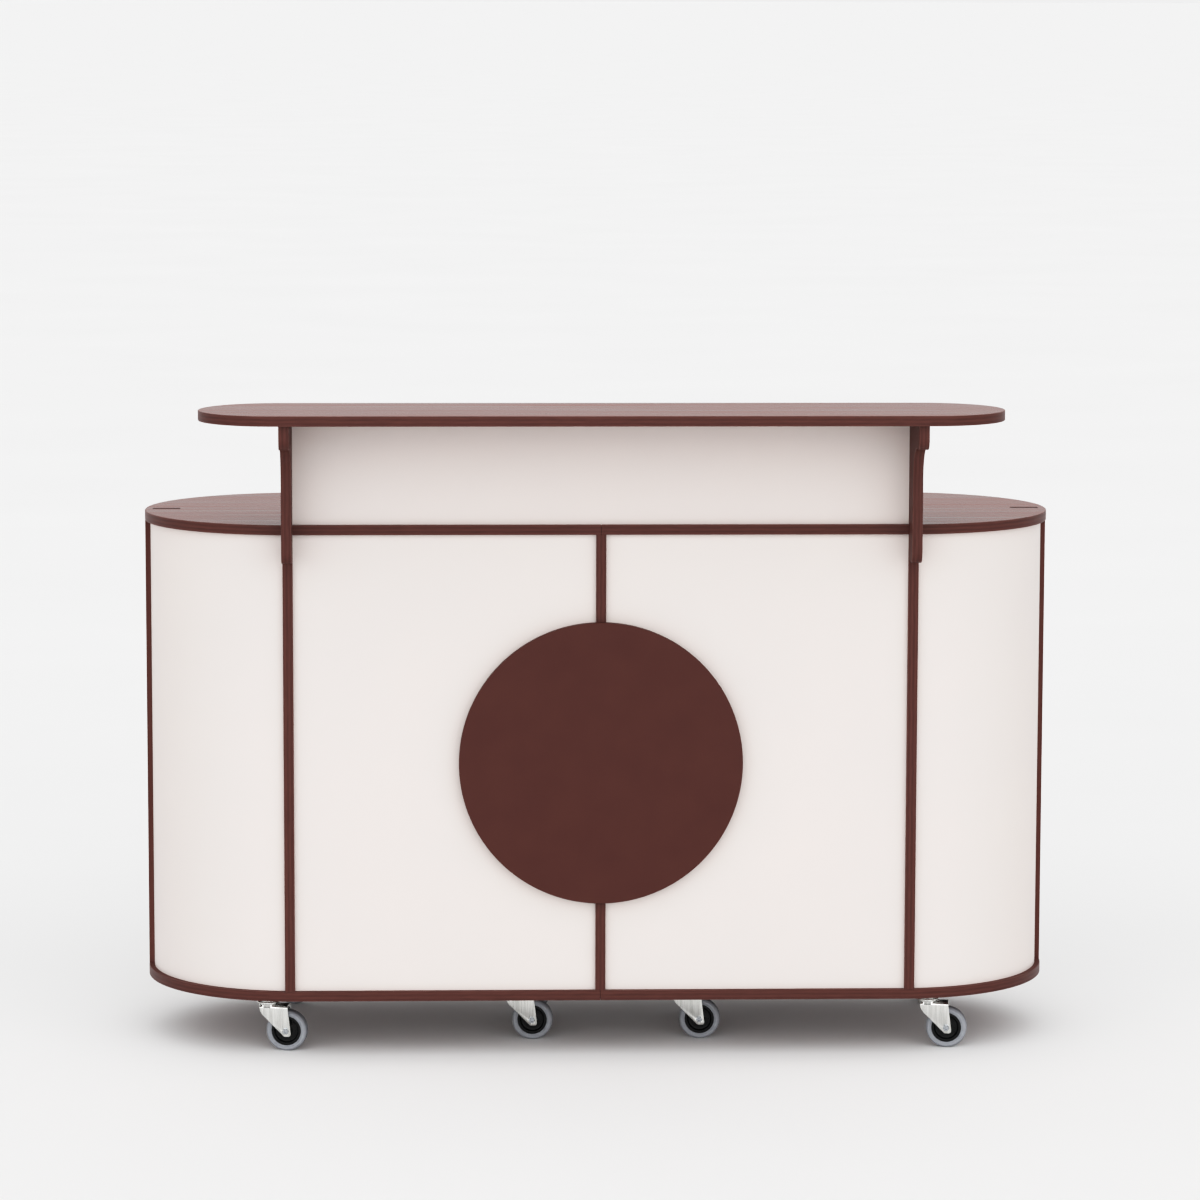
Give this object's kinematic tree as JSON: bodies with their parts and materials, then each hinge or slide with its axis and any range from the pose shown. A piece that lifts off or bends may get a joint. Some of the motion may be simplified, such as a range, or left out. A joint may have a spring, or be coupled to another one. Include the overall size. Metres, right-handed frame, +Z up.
{
  "type": "bar counter",
  "caption": "Oval mobile bar counter of stained plywood with white panels, a raised bar shelf on corbel brackets, a round sign board and swivel casters.",
  "frame": {"origin": "on the floor, under the middle of the overall box", "axes": "+X along the counter to the customers' right as they face it, +Y from the customers' side to the staff side, +Z up"},
  "size_m": [1.6598, 0.736, 1.18],
  "materials": {
    "stained_birch_plywood": "reddish-brown stain under satin lacquer, fine plies on the cut edges",
    "white_lacquered_panel": "off-white satin lacquer on thin hardboard",
    "beech_dowel_wood": "bare turned beech",
    "zinc_plated_steel": "bright zinc plating on pressed steel",
    "black_nylon": "moulded, fine matte grain",
    "grey_rubber": "non-marking grey rubber, moulded"
  },
  "bodies": {
    "counter": {"base_left": "stained_birch_plywood", "base_right": "stained_birch_plywood", "worktop_left": "stained_birch_plywood", "worktop_right": "stained_birch_plywood", "front_post_left": "stained_birch_plywood", "front_post_centre": "stained_birch_plywood", "front_post_right": "stained_birch_plywood", "end_post_left": "stained_birch_plywood", "end_post_right": "stained_birch_plywood", "back_posts": "stained_birch_plywood", "bracket_left": "stained_birch_plywood", "bracket_right": "stained_birch_plywood", "bar_shelf": "stained_birch_plywood", "sign_board": "stained_birch_plywood", "cross_rails": "stained_birch_plywood", "inner_shelves": "stained_birch_plywood", "seam_battens": "stained_birch_plywood", "front_panel_left": "white_lacquered_panel", "front_panel_right": "white_lacquered_panel", "curved_panel_front_left": "white_lacquered_panel", "curved_panel_front_right": "white_lacquered_panel", "curved_panel_back_left": "white_lacquered_panel", "curved_panel_back_right": "white_lacquered_panel", "upstand_panel": "white_lacquered_panel", "dowels": "beech_dowel_wood", "wood_screws": "zinc_plated_steel", "caster_plates": "zinc_plated_steel", "kingpins": "zinc_plated_steel"},
    "caster_front_left": {"fork_front_left": "zinc_plated_steel", "axle_front_left": "zinc_plated_steel"},
    "wheel_front_left": {"hub_front_left": "black_nylon", "tyre_front_left": "grey_rubber"},
    "caster_front_mid_left": {"fork_front_mid_left": "zinc_plated_steel", "axle_front_mid_left": "zinc_plated_steel"},
    "wheel_front_mid_left": {"hub_front_mid_left": "black_nylon", "tyre_front_mid_left": "grey_rubber"},
    "caster_front_mid_right": {"fork_front_mid_right": "zinc_plated_steel", "axle_front_mid_right": "zinc_plated_steel"},
    "wheel_front_mid_right": {"hub_front_mid_right": "black_nylon", "tyre_front_mid_right": "grey_rubber"},
    "caster_front_right": {"fork_front_right": "zinc_plated_steel", "axle_front_right": "zinc_plated_steel"},
    "wheel_front_right": {"hub_front_right": "black_nylon", "tyre_front_right": "grey_rubber"},
    "caster_back_left": {"fork_back_left": "zinc_plated_steel", "axle_back_left": "zinc_plated_steel"},
    "wheel_back_left": {"hub_back_left": "black_nylon", "tyre_back_left": "grey_rubber"},
    "caster_back_mid_left": {"fork_back_mid_left": "zinc_plated_steel", "axle_back_mid_left": "zinc_plated_steel"},
    "wheel_back_mid_left": {"hub_back_mid_left": "black_nylon", "tyre_back_mid_left": "grey_rubber"},
    "caster_back_mid_right": {"fork_back_mid_right": "zinc_plated_steel", "axle_back_mid_right": "zinc_plated_steel"},
    "wheel_back_mid_right": {"hub_back_mid_right": "black_nylon", "tyre_back_mid_right": "grey_rubber"},
    "caster_back_right": {"fork_back_right": "zinc_plated_steel", "axle_back_right": "zinc_plated_steel"},
    "wheel_back_right": {"hub_back_right": "black_nylon", "tyre_back_right": "grey_rubber"}
  },
  "joints": [
    {"name": "swivel_front_left", "type": "hinge", "parent": "counter", "child": "caster_front_left", "pos_m": [-0.602, -0.112, 0.09], "axis": [0, 0, 1], "continuous": true},
    {"name": "roll_front_left", "type": "hinge", "parent": "caster_front_left", "child": "wheel_front_left", "pos_m": [-0.56802, -0.11738, 0.0375], "axis": [0.1564, 0.9877, 0], "continuous": true},
    {"name": "swivel_front_mid_left", "type": "hinge", "parent": "counter", "child": "caster_front_mid_left", "pos_m": [-0.154, -0.03, 0.09], "axis": [0, 0, 1], "continuous": true},
    {"name": "roll_front_mid_left", "type": "hinge", "parent": "caster_front_mid_left", "child": "wheel_front_mid_left", "pos_m": [-0.11976, -0.0333, 0.0375], "axis": [0.0958, 0.9954, 0], "continuous": true},
    {"name": "swivel_front_mid_right", "type": "hinge", "parent": "counter", "child": "caster_front_mid_right", "pos_m": [0.154, -0.03, 0.09], "axis": [0, 0, 1], "continuous": true},
    {"name": "roll_front_mid_right", "type": "hinge", "parent": "caster_front_mid_right", "child": "wheel_front_mid_right", "pos_m": [0.18827, -0.033, 0.0375], "axis": [0.0872, 0.9962, 0], "continuous": true},
    {"name": "swivel_front_right", "type": "hinge", "parent": "counter", "child": "caster_front_right", "pos_m": [0.602, -0.112, 0.09], "axis": [0, 0, 1], "continuous": true},
    {"name": "roll_front_right", "type": "hinge", "parent": "caster_front_right", "child": "wheel_front_right", "pos_m": [0.63614, -0.11619, 0.0375], "axis": [0.1219, 0.9925, 0], "continuous": true},
    {"name": "swivel_back_left", "type": "hinge", "parent": "counter", "child": "caster_back_left", "pos_m": [-0.602, 0.288, 0.09], "axis": [0, 0, 1], "continuous": true},
    {"name": "roll_back_left", "type": "hinge", "parent": "caster_back_left", "child": "wheel_back_left", "pos_m": [-0.56793, 0.28321, 0.0375], "axis": [0.1392, 0.9903, 0], "continuous": true},
    {"name": "swivel_back_mid_left", "type": "hinge", "parent": "counter", "child": "caster_back_mid_left", "pos_m": [-0.154, 0.206, 0.09], "axis": [0, 0, 1], "continuous": true},
    {"name": "roll_back_mid_left", "type": "hinge", "parent": "caster_back_mid_left", "child": "wheel_back_mid_left", "pos_m": [-0.11979, 0.2024, 0.0375], "axis": [0.1045, 0.9945, 0], "continuous": true},
    {"name": "swivel_back_mid_right", "type": "hinge", "parent": "counter", "child": "caster_back_mid_right", "pos_m": [0.154, 0.206, 0.09], "axis": [0, 0, 1], "continuous": true},
    {"name": "roll_back_mid_right", "type": "hinge", "parent": "caster_back_mid_right", "child": "wheel_back_mid_right", "pos_m": [0.18788, 0.20003, 0.0375], "axis": [0.1736, 0.9848, 0], "continuous": true},
    {"name": "swivel_back_right", "type": "hinge", "parent": "counter", "child": "caster_back_right", "pos_m": [0.602, 0.288, 0.09], "axis": [0, 0, 1], "continuous": true},
    {"name": "roll_back_right", "type": "hinge", "parent": "caster_back_right", "child": "wheel_back_right", "pos_m": [0.63614, 0.28381, 0.0375], "axis": [0.1219, 0.9925, 0], "continuous": true}
  ]
}
